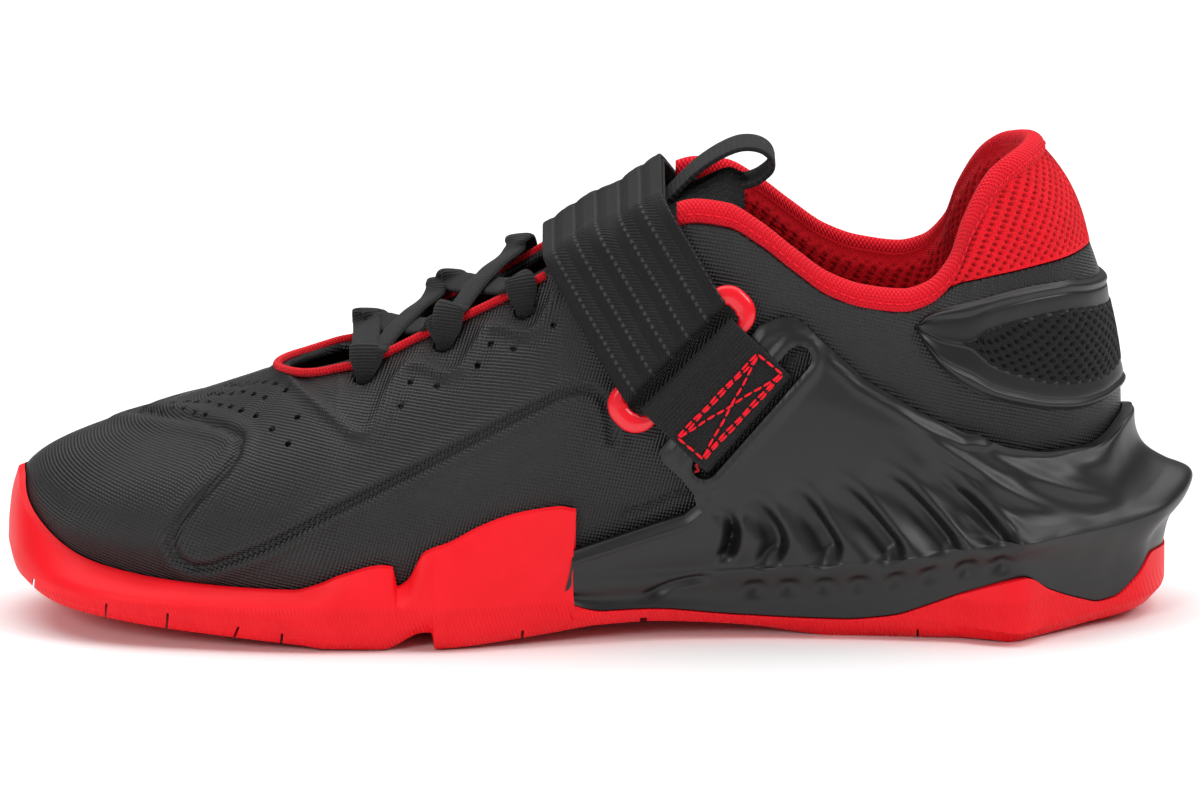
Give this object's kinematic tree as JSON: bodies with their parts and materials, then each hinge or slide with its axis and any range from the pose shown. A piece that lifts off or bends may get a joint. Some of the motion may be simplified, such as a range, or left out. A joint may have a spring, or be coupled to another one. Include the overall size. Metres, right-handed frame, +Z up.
{
  "type": "weightlifting shoe",
  "caption": "Black and red weightlifting shoe for the right foot, with a raised heel wedge, a strap over the instep folded through a ring, flat laces and a red rubber outsole",
  "frame": {"origin": "middle of the shoe's bounding box in plan, on the ground plane", "axes": "X runs from the toe (-X) to the heel (+X), Y from the inner side (-Y) to the outer side (+Y), Z is up"},
  "size_m": [0.3062, 0.101, 0.1253],
  "materials": {
    "black_cloth": "coated woven textile, soft sheen",
    "red_rubber": "moulded, fine texture low on the sides",
    "black_moulding": "satin moulding",
    "insole_cloth": "plain cloth on foam",
    "tongue_mesh": "padded spacer mesh",
    "webbing": "ribbed webbing",
    "red_knit": "fine knit",
    "red_lining": "knit lining",
    "red_mesh": "spacer mesh",
    "frame_moulding": "satin moulding",
    "elastic": "woven elastic",
    "red_plastic": "glossy moulding",
    "red_cord": "braided cord",
    "lace": "flat woven lace"
  },
  "bodies": {
    "root": {"upper": "black_cloth", "outsole": "red_rubber", "midsole": "black_moulding", "insole": "insole_cloth", "tongue": "tongue_mesh", "tongue_pull_loop": "webbing", "collar_binding": "red_knit", "collar_lining": "red_lining", "heel_pad": "red_mesh", "counter_frame": "frame_moulding", "midfoot_strap": "elastic", "strap_ring": "red_plastic", "ring_webbing": "webbing", "throat_cord": "red_cord", "laces": "lace"}
  },
  "joints": []
}
